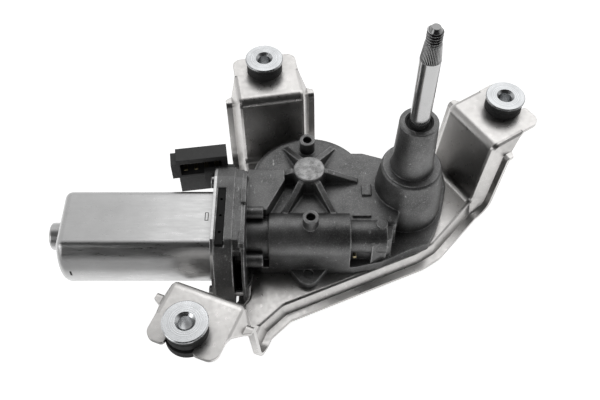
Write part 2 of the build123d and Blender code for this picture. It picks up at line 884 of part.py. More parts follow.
def can_outline(shrink):
    """Section of the can: round at the sides, flat above and below."""
    with BuildSketch() as face:
        Circle(can_radius - shrink)
        Rectangle(2 * can_radius, 2 * (can_flat - shrink), mode=Mode.INTERSECT)
        fillet(face.vertices(), radius=4.5 - shrink)
    return face.sketch


# Motor can with its flange and the bearing pocket at the closed end
with BuildPart() as motor_can:
    with BuildSketch(motor_plane(can_end)):
        add(can_outline(0))
    extrude(amount=can_flange_left - can_end)
    fillet(motor_can.edges().group_by(Axis.X)[0], radius=can_edge_radius)
    with BuildSketch(motor_plane(pocket_end)):
        Circle(pocket_radius)
    extrude(amount=can_end - pocket_end + 1.0)
    fillet(motor_can.edges().group_by(Axis.X)[0], radius=pocket_edge_radius)
    with BuildSketch(motor_plane(can_flange_left)):
        add(flange_face(0))
    extrude(amount=can_flange_thickness)
    with BuildSketch(motor_plane(can_end + can_wall)):
        add(can_outline(can_wall))
    extrude(amount=can_flange_right - can_end, mode=Mode.SUBTRACT)
    with BuildSketch(motor_plane(pocket_end + can_wall)):
        Circle(pocket_radius - can_wall)
    extrude(amount=can_end - pocket_end + can_wall, mode=Mode.SUBTRACT)
    with BuildSketch(motor_plane(can_flange_left)):
        with Locations((flange_lug_y, flange_lug_z), (-flange_lug_y, -flange_lug_z)):
            Circle(can_screw_radius + 0.3)
    extrude(amount=can_flange_thickness, mode=Mode.SUBTRACT)
motor_can.part.label = "motor_can"
export_step(motor_can.part, "parts/motor_can.step")

with BuildPart() as can_screws:
    with BuildSketch(motor_plane(can_flange_left)):
        with Locations((flange_lug_y, flange_lug_z), (-flange_lug_y, -flange_lug_z)):
            Circle(3.6)
    extrude(amount=-can_screw_head)
    fillet(can_screws.edges().group_by(Axis.X)[0], radius=0.6)
    with BuildSketch(motor_plane(can_flange_left - can_screw_head)):
        with Locations((flange_lug_y, flange_lug_z), (-flange_lug_y, -flange_lug_z)):
            RegularPolygon(radius=1.9, side_count=6)
    extrude(amount=1.5, mode=Mode.SUBTRACT)
    with BuildSketch(motor_plane(can_flange_left)):
        with Locations((flange_lug_y, flange_lug_z), (-flange_lug_y, -flange_lug_z)):
            Circle(can_screw_radius)
    extrude(amount=second_wall_right - can_flange_left - 1.0)
can_screws.part.label = "can_screws"
export_step(can_screws.part, "parts/can_screws.step")

# Magnets on both sides of the armature
with BuildPart() as field_magnets:
    with BuildSketch(motor_plane(magnet_left)):
        Circle(can_radius - can_wall - loose_gap)
        Circle(magnet_inner_radius, mode=Mode.SUBTRACT)
        Rectangle(4 * can_radius, 2 * magnet_half_height, mode=Mode.INTERSECT)
    extrude(amount=magnet_right - magnet_left)
field_magnets.part.label = "field_magnets"
export_step(field_magnets.part, "parts/field_magnets.step")


def bearing_ring(left, right, outer, inner):
    """A plain bearing on the motor axis."""
    with BuildPart() as ring:
        with BuildSketch(motor_plane(left)):
            Circle(outer)
            Circle(inner, mode=Mode.SUBTRACT)
        extrude(amount=right - left)
    return ring.part


shaft_bore = shaft_radius + running_gap
with BuildPart() as rear_bearing:
    ring_radius = pocket_radius - can_wall - seat_gap
    add(bearing_ring(pocket_end + can_wall + 1.0, can_end + 0.5, ring_radius, shaft_bore))
rear_bearing.part.label = "rear_bearing"
export_step(rear_bearing.part, "parts/rear_bearing.step")

with BuildPart() as front_bearing:
    add(bearing_ring(flange_right - 2.8, second_wall_left + 0.5, front_bearing_radius, shaft_bore))
front_bearing.part.label = "front_bearing"
export_step(front_bearing.part, "parts/front_bearing.step")

with BuildPart() as worm_end_bearing:
    add(bearing_ring(worm_tube_right, worm_tube_right + 7.0, end_bearing_radius, shaft_bore))
worm_end_bearing.part.label = "worm_end_bearing"
export_step(worm_end_bearing.part, "parts/worm_end_bearing.step")

with BuildPart() as thrust_ball:
    with Locations((shaft_right + end_play + thrust_ball_radius, worm_y, worm_z)):
        Sphere(thrust_ball_radius)
thrust_ball.part.label = "thrust_ball"
export_step(thrust_ball.part, "parts/thrust_ball.step")

screw_face = shaft_right + 2 * end_play + 2 * thrust_ball_radius
with BuildPart() as thrust_screw:
    with BuildSketch(motor_plane(screw_face)):
        Circle(thrust_screw_radius)
    extrude(amount=nose_right + 1.5 - screw_face)
    with BuildSketch(motor_plane(nose_right + 1.5)):
        RegularPolygon(radius=2.4, side_count=6)
    extrude(amount=-3.0, mode=Mode.SUBTRACT)
thrust_screw.part.label = "thrust_screw"
export_step(thrust_screw.part, "parts/thrust_screw.step")

# Brush holder with its tab in the window, brushes and springs
guide_height = brush_height + 2 * running_gap
guide_width = brush_width + 2 * running_gap
guide_x = (commutator_left + commutator_right) / 2
guide_right = can_flange_right + 0.5
brush_inner = commutator_radius + running_gap
with BuildPart() as brush_holder:
    with BuildSketch(motor_plane(can_flange_right + 0.4)):
        Circle(brush_pocket_radius - loose_gap)
        Rectangle(wide, 2 * (brush_pocket_half - loose_gap), mode=Mode.INTERSECT)
        Circle(commutator_radius + 1.5, mode=Mode.SUBTRACT)
    extrude(amount=brush_pocket_depth - 0.8)
    # raised block that fills the window of the motor flange, with three small round sinks
    block_bottom = window_floor + 0.4
    block_top = flange_top - loose_gap
    with Locations((window_left + 0.2, window_middle, worm_z + block_bottom)):
        Box(
            window_width - 0.4,
            window_depth - 0.4,
            block_top - block_bottom,
            align=(Align.MIN, Align.CENTER, Align.MIN),
        )
    for step in (-10.0, 0.0, 10.0):
        with Locations(((window_left + window_right) / 2, window_middle + step, worm_z + block_top)):
            Cylinder(0.7, 2.0, mode=Mode.SUBTRACT)
    # a guide for the brush on each side of the commutator
    for side in (-1, 1):
        guide_y = worm_y + side * (commutator_radius + 6.5)
        with Locations((guide_right, guide_y, worm_z)):
            Box(
                guide_right - guide_x + 5.0,
                9.0,
                brush_height + 3.0,
                align=(Align.MAX, Align.CENTER, Align.CENTER),
            )
        with Locations((guide_x, guide_y, worm_z)):
            Box(guide_width, 9.1, guide_height, mode=Mode.SUBTRACT)
brush_holder.part.label = "brush_holder"
export_step(brush_holder.part, "parts/brush_holder.step")

with BuildPart() as carbon_brushes:
    for side in (-1, 1):
        with Locations((guide_x, worm_y + side * (brush_inner + 3.5), worm_z)):
            Box(brush_width, 7.0, brush_height)
carbon_brushes.part.label = "carbon_brushes"
export_step(carbon_brushes.part, "parts/carbon_brushes.step")

with BuildPart() as brush_springs:
    for side in (-1, 1):
        with Locations((guide_x, worm_y + side * (brush_inner + 7.05), worm_z)):
            with Locations(Rotation(-90 * side, 0, 0)):
                Cylinder(1.8, 5.0, align=(Align.CENTER, Align.CENTER, Align.MIN))
brush_springs.part.label = "brush_springs"
export_step(brush_springs.part, "parts/brush_springs.step")

# Armature: shaft with the worm cut on it, stack, windings, commutator
thread_start = wheel_x - 3.75 * pitch
with BuildPart() as armature_shaft:
    with BuildSketch(motor_plane(shaft_left)):
        Circle(shaft_radius)
    extrude(amount=shaft_right - shaft_left)
    with BuildSketch(motor_plane(wheel_x - worm_length / 2)):
        Circle(worm_root_radius + 0.02)
    extrude(amount=worm_length)
    helix_start = (thread_start, worm_y, worm_z)
    helix = Edge.make_helix(pitch, 7.5 * pitch, worm_root_radius, center=helix_start, normal=(1, 0, 0))
    tooth_half = tooth_share * pitch / 2
    flank = math.tan(math.radians(20))
    tip_half = tooth_half - module * flank
    root_half = tooth_half + 1.25 * module * flank
    start = helix @ 0
    outward = Vector(0, start.Y - worm_y, start.Z - worm_z)
    with BuildSketch(Plane(origin=start, x_dir=outward, z_dir=helix % 0)):
        with BuildLine():
            Polyline(
                (-0.1, -root_half),
                (worm_tip_radius - worm_root_radius, -tip_half),
                (worm_tip_radius - worm_root_radius, tip_half),
                (-0.1, root_half),
                close=True,
            )
        make_face()
    sweep(path=helix, is_frenet=True)
armature_shaft.part.label = "armature_shaft"
export_step(armature_shaft.part, "parts/armature_shaft.step")

slot_middle = (slot_bottom + stack_radius - 1.3) / 2
with BuildPart() as lamination_stack:
    with BuildSketch(motor_plane(stack_left)):
        Circle(stack_radius)
        Circle(shaft_radius + seat_gap, mode=Mode.SUBTRACT)
        with PolarLocations(slot_middle, slot_count):
            Rectangle(stack_radius - 1.3 - slot_bottom, slot_width, mode=Mode.SUBTRACT)
        with PolarLocations(stack_radius, slot_count):
            Rectangle(4.0, 1.2, mode=Mode.SUBTRACT)
    extrude(amount=stack_right - stack_left)
lamination_stack.part.label = "lamination_stack"
export_step(lamination_stack.part, "parts/lamination_stack.step")

with BuildPart() as armature_windings:
    for left, depth in ((stack_left - 4.0, 4.0), (stack_right, 4.0)):
        with BuildSketch(motor_plane(left)):
            Circle(stack_radius - 1.6)
            Circle(slot_bottom - 1.0, mode=Mode.SUBTRACT)
        extrude(amount=depth)
    with BuildSketch(motor_plane(stack_left)):
        with PolarLocations(slot_middle, slot_count):
            Rectangle(stack_radius - 1.7 - slot_bottom, slot_width - 0.3)
    extrude(amount=stack_right - stack_left)
armature_windings.part.label = "armature_windings"
export_step(armature_windings.part, "parts/armature_windings.step")

with BuildPart() as commutator:
    with BuildSketch(motor_plane(commutator_left)):
        Circle(commutator_radius)
        Circle(shaft_radius + seat_gap, mode=Mode.SUBTRACT)
    extrude(amount=commutator_right - commutator_left)
    with BuildSketch(motor_plane(commutator_left - 1.2)):
        Circle(commutator_radius + 1.2)
        Circle(shaft_radius + seat_gap, mode=Mode.SUBTRACT)
    extrude(amount=1.6)
    with BuildSketch(motor_plane(commutator_left + 1.0)):
        with PolarLocations(commutator_radius, slot_count):
            Rectangle(1.4, 0.5)
    extrude(amount=commutator_right - commutator_left, mode=Mode.SUBTRACT)
commutator.part.label = "commutator"
export_step(commutator.part, "parts/commutator.step")

# Worm wheel with helical teeth, turning on a fixed axle
tooth_angle = 360 / wheel_teeth
lead = math.degrees(math.atan(pitch / (2 * math.pi * worm_pitch_radius)))
twist = math.degrees(gear_face * math.tan(math.radians(lead)) / wheel_pitch_radius)


def gear_outline(turn):
    """Toothed outline about the wheel's axis, a tooth gap pointing at the worm."""
    half_pitch = math.degrees(tooth_half / wheel_pitch_radius)
    tip_half_angle = math.degrees(tip_half / wheel_tip_radius)
    root_half_angle = math.degrees(root_half / wheel_root_radius)
    points = []
    for tooth in range(wheel_teeth):
        middle = turn - 90 + (tooth + 0.5) * tooth_angle
        for radius, step in (
            (wheel_root_radius, -root_half_angle),
            (wheel_tip_radius, -tip_half_angle),
            (wheel_tip_radius, tip_half_angle),
            (wheel_root_radius, root_half_angle),
        ):
            angle = math.radians(middle + step)
            points.append((wheel_x + radius * math.cos(angle), wheel_y + radius * math.sin(angle)))
    with BuildSketch() as face:
        with BuildLine():
            Polyline(*points, close=True)
        make_face()
    return face.sketch


sink_top = wheel_bottom + 2.4
with BuildPart() as worm_wheel:
    with BuildSketch(Plane.XY.offset(wheel_bottom)):
        add(gear_outline(-twist / 2))
    with BuildSketch(Plane.XY.offset(wheel_top)):
        add(gear_outline(twist / 2))
    loft(ruled=True)
    with BuildSketch(Plane.XY.offset(wheel_bottom)):
        with Locations(wheel_centre):
            Circle(axle_radius + running_gap)
    extrude(amount=gear_face, mode=Mode.SUBTRACT)
    with BuildSketch(Plane.XY.offset(wheel_bottom)):
        with Locations(wheel_centre):
            Circle(axle_radius + 3.2)
    extrude(amount=sink_top - wheel_bottom, mode=Mode.SUBTRACT)
    with BuildSketch(Plane.XY.offset(wheel_top)):
        with Locations(wheel_centre):
            Circle(wheel_root_radius - 3.0)
            Circle(axle_radius + 5.0, mode=Mode.SUBTRACT)
    extrude(amount=-2.0, mode=Mode.SUBTRACT)
worm_wheel.part.label = "worm_wheel"
export_step(worm_wheel.part, "parts/worm_wheel.step")

with BuildPart() as wheel_axle:
    with BuildSketch(Plane.XY.offset(wheel_bottom + 0.3)):
        with Locations(wheel_centre):
            Circle(axle_radius)
    extrude(amount=wheel_roof + hub_height - 1.3 - wheel_bottom - 0.3)
    with BuildSketch(Plane.XY.offset(sink_top - 1.4)):
        with Locations(wheel_centre):
            Circle(axle_radius + 0.1)
            Circle(axle_radius - 0.5, mode=Mode.SUBTRACT)
    extrude(amount=1.1, mode=Mode.SUBTRACT)
wheel_axle.part.label = "wheel_axle"
export_step(wheel_axle.part, "parts/wheel_axle.step")

with BuildPart() as wheel_washer:
    with BuildSketch(Plane.XY.offset(wheel_top + 0.1)):
        with Locations(wheel_centre):
            Circle(axle_radius + 3.5)
            Circle(axle_radius + loose_gap, mode=Mode.SUBTRACT)
    extrude(amount=wheel_roof - wheel_top - 0.1)
wheel_washer.part.label = "wheel_washer"
export_step(wheel_washer.part, "parts/wheel_washer.step")


def retaining_ring(top, thickness, outer, inner, centre):
    """An open snap ring."""
    with BuildPart() as ring:
        with BuildSketch(Plane.XY.offset(top)):
            with Locations(centre):
                Circle(outer)
                Circle(inner, mode=Mode.SUBTRACT)
                Rectangle(outer + 1.0, 2.0, align=(Align.MIN, Align.CENTER), mode=Mode.SUBTRACT)
        extrude(amount=-thickness)
    return ring.part


with BuildPart() as wheel_ring:
    add(retaining_ring(sink_top - 0.35, 1.0, axle_radius + 2.3, axle_radius - 0.48, wheel_centre))
wheel_ring.part.label = "wheel_ring"
export_step(wheel_ring.part, "parts/wheel_ring.step")

# Crank plate under the wheel, crank pin through the rod's eye
with BuildPart() as crank_plate:
    with BuildSketch(Plane.XY.offset(wheel_bottom)):
        with Locations(wheel_centre):
            Circle(crank_plate_radius)
        with Locations(crank_pin):
            Circle(crank_pin_radius + seat_gap, mode=Mode.SUBTRACT)
    extrude(amount=-crank_plate_thickness)
crank_plate.part.label = "crank_plate"
export_step(crank_plate.part, "parts/crank_plate.step")

pin_end = rod_bottom - 1.6
with BuildPart() as crank_pin_part:
    with BuildSketch(Plane.XY.offset(wheel_bottom)):
        with Locations(crank_pin):
            Circle(crank_pin_radius)
    extrude(amount=pin_end - wheel_bottom)
    with BuildSketch(Plane.XY.offset(crank_plate_bottom)):
        with Locations(crank_pin):
            Circle(crank_shoulder_radius)
    extrude(amount=rod_top + 0.1 - crank_plate_bottom)
    with BuildSketch(Plane.XY.offset(rod_bottom - 0.15)):
        with Locations(crank_pin):
            Circle(crank_pin_radius + 0.1)
            Circle(crank_pin_radius - 0.5, mode=Mode.SUBTRACT)
    extrude(amount=-0.9, mode=Mode.SUBTRACT)
crank_pin_part.part.label = "crank_pin"
export_step(crank_pin_part.part, "parts/crank_pin.step")

with BuildPart() as crank_pin_ring:
    add(retaining_ring(rod_bottom - 0.2, 0.8, crank_pin_radius + 2.0, crank_pin_radius - 0.48, crank_pin))
crank_pin_ring.part.label = "crank_pin_ring"
export_step(crank_pin_ring.part, "parts/crank_pin_ring.step")

rod_dx = lever_pin[0] - crank_pin[0]
rod_dy = lever_pin[1] - crank_pin[1]
rod_angle = math.degrees(math.atan2(rod_dy, rod_dx))
rod_middle = ((lever_pin[0] + crank_pin[0]) / 2, (lever_pin[1] + crank_pin[1]) / 2)
with BuildPart() as connecting_rod:
    with BuildSketch(Plane.XY.offset(rod_top)):
        with Locations(Location((*rod_middle, 0), (0, 0, rod_angle))):
            Rectangle(rod_length, rod_width)
        with Locations(crank_pin):
            Circle(rod_eye_radius)
        with Locations(lever_pin):
            Circle(rod_far_eye_radius)
        with Locations(crank_pin):
            Circle(crank_pin_radius + running_gap, mode=Mode.SUBTRACT)
        with Locations(lever_pin):
            Circle(lever_pin_radius + running_gap, mode=Mode.SUBTRACT)
    extrude(amount=-rod_thickness)
connecting_rod.part.label = "connecting_rod"
export_step(connecting_rod.part, "parts/connecting_rod.step")

# Output spindle and its lever
with BuildPart() as spindle:
    with BuildSketch(Plane.XZ):
        with BuildLine():
            Polyline(
                (0, lever_bottom),
                (spindle_radius, lever_bottom),
                (spindle_radius, knurl_start),
                (thread_radius, knurl_end),
                (thread_radius, thread_end),
                (tip_radius, spindle_tip),
                (0, spindle_tip),
                close=True,
            )
        make_face()
    revolve(axis=Axis.Z)
    with BuildSketch(Plane.XY.offset(upper_bush_top + 0.2)):
        Circle(spindle_radius + 0.1)
        Circle(spindle_radius - 0.5, mode=Mode.SUBTRACT)
    extrude(amount=0.9, mode=Mode.SUBTRACT)
spindle.part.label = "spindle"
export_step(spindle.part, "parts/spindle.step")

with BuildPart() as spindle_lever:
    with BuildSketch(Plane.XY.offset(lever_top)):
        Circle(lever_hub_radius)
        with Locations(lever_pin):
            Circle(lever_pin_radius + 2.0)
        make_hull()
        Circle(spindle_radius + seat_gap, mode=Mode.SUBTRACT)
        with Locations(lever_pin):
            Circle(lever_pin_radius + seat_gap, mode=Mode.SUBTRACT)
    extrude(amount=-lever_thickness)
spindle_lever.part.label = "spindle_lever"
export_step(spindle_lever.part, "parts/spindle_lever.step")

with BuildPart() as lever_pin_part:
    with BuildSketch(Plane.XY.offset(lever_top)):
        with Locations(lever_pin):
            Circle(lever_pin_radius)
    extrude(amount=rod_top + loose_gap - lever_top)
lever_pin_part.part.label = "lever_pin"
export_step(lever_pin_part.part, "parts/lever_pin.step")

with BuildPart() as spindle_ring:
    add(retaining_ring(upper_bush_top + 1.05, 0.8, spindle_radius + 1.8, spindle_radius - 0.48, (0, 0)))
spindle_ring.part.label = "spindle_ring"
export_step(spindle_ring.part, "parts/spindle_ring.step")

bush_radius = spindle_radius + bush_wall
bush_heights = {
    "lower_bush": (lever_top + 0.5, lower_bush_top),
    "upper_bush": (upper_bush_bottom, upper_bush_top),
}
for name, (bottom, top) in bush_heights.items():
    with BuildPart() as bush:
        with BuildSketch(Plane.XY.offset(bottom)):
            Circle(bush_radius)
            Circle(spindle_radius + running_gap, mode=Mode.SUBTRACT)
        extrude(amount=top - bottom)
    bush.part.label = name
    export_step(bush.part, f"parts/{name}.step")

seal_bottom = upper_bush_top + 1.6
seal_top = collar_top - 0.5
with BuildPart() as spindle_seal:
    with BuildSketch(Plane.XZ):
        with BuildLine():
            Polyline(
                (spindle_radius + 0.9, seal_bottom),
                (seal_radius, seal_bottom),
                (seal_radius, seal_top),
                (spindle_radius + 1.4, seal_top),
                (spindle_radius + 1.2, seal_top - 1.2),
                (spindle_radius + running_gap, seal_top - 0.6),
                (spindle_radius + running_gap, seal_top - 1.6),
                (spindle_radius + 0.9, seal_top - 2.4),
                close=True,
            )
        make_face()
    revolve(axis=Axis.Z)
spindle_seal.part.label = "spindle_seal"
export_step(spindle_seal.part, "parts/spindle_seal.step")

# Connector: socket body behind the can, and an arm to the motor flange
corner_x, corner_y = connector_corner
front_plane = Plane(
    origin=(corner_x, corner_y, connector_bottom),
    x_dir=(math.cos(math.radians(connector_turn)), math.sin(math.radians(connector_turn)), 0),
    z_dir=(math.sin(math.radians(connector_turn)), -math.cos(math.radians(connector_turn)), 0),
)
connector_height = connector_top - connector_bottom
socket_middle = ((connector_width - 1.5) / 2, connector_height / 2 - 0.5)
with BuildPart() as connector_housing:
    with BuildSketch(front_plane):
        Rectangle(connector_width, connector_height, align=(Align.MIN, Align.MIN))
        with Locations((-3.0, 0)):
            Rectangle(12.0, connector_height - 3.0, align=(Align.MIN, Align.MIN))
    extrude(amount=-connector_depth)
    with BuildSketch(front_plane.offset(-1.5)):
        with Locations((0.3, 0)):
            Rectangle(connector_width - 0.6, lower_body_height, align=(Align.MIN, Align.MAX))
    extrude(amount=2.5 - connector_depth)
    # arm to the motor flange
    with Locations((can_flange_right - 8.0, worm_y + flange_back, worm_z + 3.0)):
        Box(16.0, 5.5, 13.0, align=(Align.MIN, Align.MIN, Align.MIN))
    # socket, open at the front
    with BuildSketch(front_plane):
        with Locations(socket_middle):
            Rectangle(socket_width, socket_height)
    extrude(amount=-socket_depth, mode=Mode.SUBTRACT)
connector_housing.part.label = "connector_housing"
export_step(connector_housing.part, "parts/connector_housing.step")

with BuildPart() as connector_terminals:
    with BuildSketch(front_plane.offset(-socket_depth)):
        with Locations((socket_middle[0], socket_middle[1] - terminal_drop)):
            with GridLocations(socket_width / terminal_count, 1, terminal_count, 1):
                Rectangle(2.2, 0.8)
    extrude(amount=socket_depth - 1.5)
connector_terminals.part.label = "connector_terminals"
export_step(connector_terminals.part, "parts/connector_terminals.step")

# Small plug in the side of the worm housing
with BuildPart() as side_plug:
    with Locations((plug_x, worm_y - nose_radius + 2.6, worm_z - 5.5)):
        with Locations(Rotation(90, 0, 0)):
            Cylinder(plug_radius, 3.4, align=(Align.CENTER, Align.CENTER, Align.MIN))
side_plug.part.label = "side_plug"
export_step(side_plug.part, "parts/side_plug.step")
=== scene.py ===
import math
import bpy
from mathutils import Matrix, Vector


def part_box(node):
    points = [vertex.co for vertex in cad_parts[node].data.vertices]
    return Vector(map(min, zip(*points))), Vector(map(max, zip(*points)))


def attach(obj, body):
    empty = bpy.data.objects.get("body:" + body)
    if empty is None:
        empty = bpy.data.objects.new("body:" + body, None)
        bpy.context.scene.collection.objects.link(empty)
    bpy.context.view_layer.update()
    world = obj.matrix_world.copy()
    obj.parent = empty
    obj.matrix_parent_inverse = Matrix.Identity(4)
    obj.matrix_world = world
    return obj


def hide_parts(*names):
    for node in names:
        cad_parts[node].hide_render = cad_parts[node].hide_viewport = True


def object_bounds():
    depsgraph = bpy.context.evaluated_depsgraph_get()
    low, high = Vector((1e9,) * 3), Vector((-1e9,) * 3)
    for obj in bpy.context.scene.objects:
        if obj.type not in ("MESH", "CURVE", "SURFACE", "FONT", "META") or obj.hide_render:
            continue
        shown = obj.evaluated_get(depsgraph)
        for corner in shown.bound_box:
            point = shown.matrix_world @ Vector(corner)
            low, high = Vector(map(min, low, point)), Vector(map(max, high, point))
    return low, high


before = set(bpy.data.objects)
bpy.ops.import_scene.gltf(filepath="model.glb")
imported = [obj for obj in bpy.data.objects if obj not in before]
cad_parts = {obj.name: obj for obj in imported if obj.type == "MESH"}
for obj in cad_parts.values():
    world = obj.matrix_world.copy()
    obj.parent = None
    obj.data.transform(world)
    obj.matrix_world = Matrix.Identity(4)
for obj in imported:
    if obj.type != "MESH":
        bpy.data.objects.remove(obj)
cad_low, cad_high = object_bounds()


def middle(node):
    """The middle of a CAD piece's box."""
    return [(low + high) / 2 for low, high in zip(*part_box(node))]


# Sizes are in metres, from the spindle's axis and the plane of the sleeves' top faces
MM = 0.001
ROUND_STEPS = 144

# Spindle: smooth shaft, knurled cone, thread and a short cone at the tip
spindle_low, spindle_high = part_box("spindle")
SHAFT_BOTTOM = spindle_low[2]
SPINDLE_RADIUS = spindle_high[0]
KNURL_START = 64.5 * MM
KNURL_END = 74.0 * MM
KNURL_TOP_RADIUS = 4.0 * MM
KNURL_RIDGES = 36
KNURL_DEPTH = 0.45 * MM
THREAD_END = 80.9 * MM
THREAD_RADIUS = 3.8 * MM
THREAD_DEPTH = 0.8 * MM
THREAD_PITCH = 1.5 * MM
THREAD_RUN_IN = 2.0 * MM
GROOVE_STEEPNESS = 1.25
TIP_RADIUS = 2.1 * MM
SPINDLE_TIP = 82.9 * MM
SHARP_EDGE = math.radians(40)

# Rows of the spindle's mesh, and the thin step between its stretches
SHAFT_ROWS = 6
KNURL_ROWS = 12
THREAD_ROWS = 96
TIP_ROWS = 3
ROW_STEP = 0.05 * MM

# Rim on the shoulder of the spindle boss
RIM_INNER = 11.0 * MM
RIM_OUTER = 14.9 * MM
RIM_BOTTOM = -11.0 * MM
RIM_TOP = -10.35 * MM

# Rubbed hub of the dome: its top, and where the rubbing fades out from its middle
HUB_TOP = -17.3 * MM
HUB_FADE = (7.4 * MM, 8.8 * MM)

# Small stamped marks on the can: centre, half size and line width of each
CAN_STAMPS = (
    ((-105.2 * MM, -28.2 * MM, -17.3 * MM), (0.9 * MM, 2.5 * MM, 1.5 * MM), 0.3 * MM),
    ((-173.5 * MM, -51.9 * MM, -33.5 * MM), (0.45 * MM, 1.5 * MM, 1.8 * MM), 5.0 * MM),
)
STAMP_SOFTNESS = 0.1 * MM

# Dark and light grey of each sleeve, their cool tint and their rings per metre. The sleeves are one
# steel; their different greys are painted light and shade, darker on the rear and right sleeves.
SLEEVE_LIT_AND_SHADED_TONES = {"left": (0.6, 0.76), "rear": (0.42, 0.6), "right": (0.42, 0.6)}
SLEEVE_TINT = -0.02
SLEEVE_RINGS = 2200.0

# Camera of the photograph
CAMERA_PLACE = (-0.05806, -0.26109, 0.31324)
CAMERA_TILT = math.radians(36.35)
CAMERA_LENS = 48.0
CAMERA_SENSOR = 36.0
CAMERA_NEAREST = 0.01

# The room's even light, and how it brightens and dims in mirrors toward the front
ROOM_LIGHT = 0.2
MIRROR_BRIGHT = 0.72
FRONT = (0.0, -0.77, 0.64)
FRONT_BAND = (0.25, 0.66)
FRONT_DIM = 0.02

# Lamps: name, place, size and power of each, and whether mirrors show it
LAMP_TARGET = (-0.06, 0.0, -0.03)
LAMPS = (
    ("back_light", (0.15, 0.42, 0.62), (0.8, 0.6), 1.6, True),
    ("front_light", (-0.1, -0.85, 0.12), (0.9, 0.3), 1.6, False),
    ("left_light", (-0.7, -0.45, 0.3), (0.5, 0.5), 1.3, True),
)

# Floor: size, middle, gap under the bracket, its greys and its lift to white. Mirrors see it
# darker in front of the can, which is left of the side band and nearer than the front band.
FLOOR_SIZE = 6.0
FLOOR_MIDDLE = (-0.06, 0.0)
FLOOR_GAP = 0.2 * MM
FLOOR_CLOUDS = 3.0
FLOOR_CLOUD_ENDS = (0.3, 0.7)
FLOOR_TONES = (0.86, 0.88)
FLOOR_ROUGHNESS = 0.9
FLOOR_LIFT = 0.8
SIDE_BAND = (-0.1, -0.085)
FRONT_FLOOR_BAND = (-0.095, -0.058)
FRONT_FLOOR_LEAST = 0.05


# Building blocks of the materials

WHITE = (1.0, 1.0, 1.0)
# A pattern that is stretched along no axis, and the two axes that a ring lies in
EVEN = (1.0, 1.0, 1.0)
FLAT = (1.0, 1.0, 0.0)
# Steps on a vector that give a number
NUMBER_RESULTS = ("DISTANCE", "DOT_PRODUCT", "LENGTH")
EDGE_SAMPLES = 6
CORNER_SHADE_SAMPLES = 8
# Cosine between the rounded normal and the true one, where wear starts and where it is full
WEAR_BAND = (0.995, 0.88)
# How open a corner is, where its painted shade is darkest and where it ends
CORNER_BAND = (0.35, 0.85)
# Stretch of a pattern over which the roughness goes from its least to its most
ROUGHNESS_BAND = (0.3, 0.7)
# Places of the two colours and of the mixed one among a mix node's sockets
FIRST_COLOUR = 6
SECOND_COLOUR = 7
MIXED_COLOUR = 2


def grey(value, warm=0.0):
    """A grey, a little warmer or cooler."""
    return (value * (1.0 + warm), value, value * (1.0 - warm))


def start_material(name):
    """A new material with its shader and node tree."""
    material = bpy.data.materials.new(name)
    material.use_nodes = True
    tree = material.node_tree
    return material, tree, tree.nodes["Principled BSDF"]


def place_vector(tree, stretch=EVEN):
    """Object coordinates, stretched along the axes."""
    source = tree.nodes.new("ShaderNodeTexCoord")
    mapping = tree.nodes.new("ShaderNodeMapping")
    mapping.inputs["Scale"].default_value = stretch
    tree.links.new(source.outputs["Object"], mapping.inputs["Vector"])
    return mapping.outputs["Vector"]


def axes(tree, vector):
    """The X, Y and Z of a vector."""
    node = tree.nodes.new("ShaderNodeSeparateXYZ")
    tree.links.new(vector, node.inputs["Vector"])
    return node.outputs


def noise(tree, vector, scale, detail=3.0, roughness=0.55):
    """A noise pattern; scale is in features per metre."""
    node = tree.nodes.new("ShaderNodeTexNoise")
    node.inputs["Scale"].default_value = scale
    node.inputs["Detail"].default_value = detail
    node.inputs["Roughness"].default_value = roughness
    tree.links.new(vector, node.inputs["Vector"])
    return node.outputs["Fac"]


def spread(tree, value, band, result=(0.0, 1.0)):
    """A value taken from one range to another."""
    node = tree.nodes.new("ShaderNodeMapRange")
    node.inputs["From Min"].default_value = band[0]
    node.inputs["From Max"].default_value = band[1]
    node.inputs["To Min"].default_value = result[0]
    node.inputs["To Max"].default_value = result[1]
    tree.links.new(value, node.inputs["Value"])
    return node.outputs["Result"]


def math_node(tree, operation, first, second):
    """One arithmetic step on two values."""
    node = tree.nodes.new("ShaderNodeMath")
    node.operation = operation
    tree.links.new(first, node.inputs[0])
    tree.links.new(second, node.inputs[1])
    return node.outputs["Value"]


def vector_node(tree, operation, first, second=None):
    """One step on a vector, alone or with a second vector or fixed place."""
    node = tree.nodes.new("ShaderNodeVectorMath")
    node.operation = operation
    tree.links.new(first, node.inputs[0])
    if isinstance(second, tuple):
        node.inputs[1].default_value = second
    elif second is not None:
        tree.links.new(second, node.inputs[1])
    return node.outputs["Value" if operation in NUMBER_RESULTS else "Vector"]


def colours(tree, value, stops):
    """A colour ramp over a value."""
    node = tree.nodes.new("ShaderNodeValToRGB")
    for element, (place, colour) in zip(node.color_ramp.elements, stops):
        element.position = place
        element.color = (*colour, 1.0)
    tree.links.new(value, node.inputs["Fac"])
    return node.outputs["Color"]


def blend_colours(tree, factor, first, second):
    """Two colours blended by a factor."""
    node = tree.nodes.new("ShaderNodeMix")
    node.data_type = "RGBA"
    tree.links.new(factor, node.inputs["Factor"])
    tree.links.new(first, node.inputs[FIRST_COLOUR])
    if isinstance(second, tuple):
        node.inputs[SECOND_COLOUR].default_value = (*second, 1.0)
    else:
        tree.links.new(second, node.inputs[SECOND_COLOUR])
    return node.outputs[MIXED_COLOUR]


def relief(tree, shader, heights, normal, strength, depth):
    """Surface relief from a height pattern, over given normals."""
    node = tree.nodes.new("ShaderNodeBump")
    node.inputs["Strength"].default_value = strength
    node.inputs["Distance"].default_value = depth
    tree.links.new(heights, node.inputs["Height"])
    tree.links.new(normal, node.inputs["Normal"])
    tree.links.new(node.outputs["Normal"], shader.inputs["Normal"])


def soft_edges(tree, radius):
    """Normals rounded over sharp edges."""
    node = tree.nodes.new("ShaderNodeBevel")
    node.samples = EDGE_SAMPLES
    node.inputs["Radius"].default_value = radius
    return node.outputs["Normal"]


